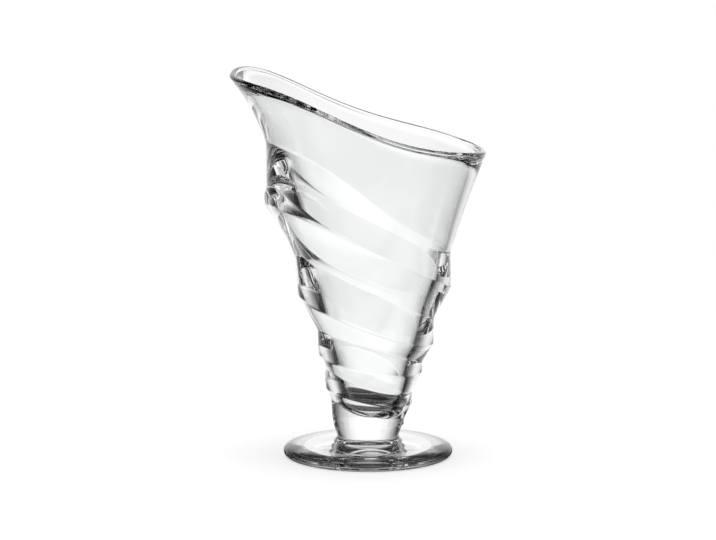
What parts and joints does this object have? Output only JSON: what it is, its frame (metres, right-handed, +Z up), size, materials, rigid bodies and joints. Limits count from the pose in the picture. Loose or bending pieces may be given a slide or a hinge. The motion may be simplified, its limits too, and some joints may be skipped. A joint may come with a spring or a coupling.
{
  "type": "parfait glass",
  "caption": "Tall footed dessert glass: a stepped cone bowl with a slanting, flared lip on a short solid stem and a round foot.",
  "frame": {"origin": "centre of the ring that the foot stands on, on the axis of the foot and stem", "axes": "+Z up along the foot and stem; the lip is high at -X and low at +X; -Y is the side seen in the picture"},
  "size_m": [0.1138, 0.105, 0.1737],
  "materials": {
    "clear_glass": "clear colourless pressed glass, fire-polished and glossy"
  },
  "bodies": {
    "root": {"bowl": "clear_glass", "stem": "clear_glass", "foot": "clear_glass"}
  },
  "joints": []
}
